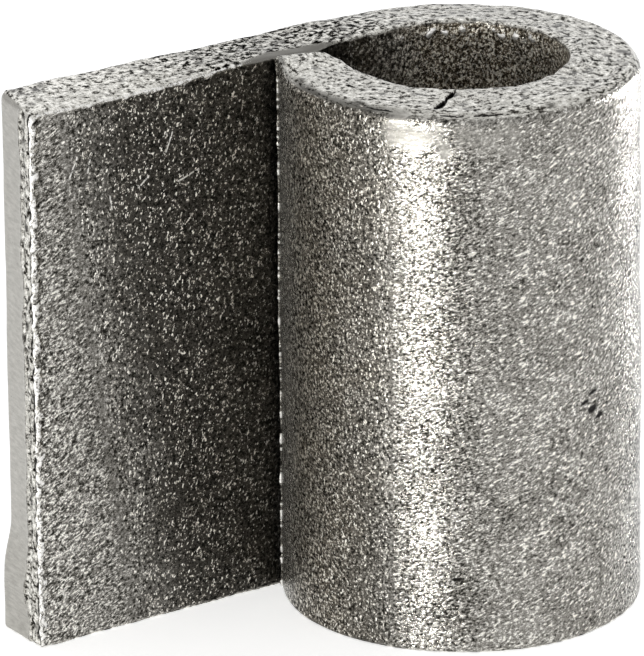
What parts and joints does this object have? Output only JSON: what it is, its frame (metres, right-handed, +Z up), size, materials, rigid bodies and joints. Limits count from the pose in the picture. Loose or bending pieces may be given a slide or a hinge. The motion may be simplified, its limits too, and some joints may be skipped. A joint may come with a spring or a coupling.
{
  "type": "rolled eye leaf of a weld-on lift-off hinge",
  "caption": "Flat steel bar rolled into an eye at one end: the eye leaf of a weld-on lift-off hinge, which drops over the pin of the other leaf.",
  "frame": {"origin": "on the eye's axis, in the plane of its lower end", "axes": "+Z up along the eye's axis, the leaf runs along -X, and its back face looks along +Y"},
  "size_m": [0.0437, 0.0254, 0.04],
  "materials": {
    "bare_steel": "bare mild steel with a fine tumbled grain, darker in the bore and beside the seam"
  },
  "bodies": {
    "root": {"rolled_leaf": "bare_steel"}
  },
  "joints": []
}
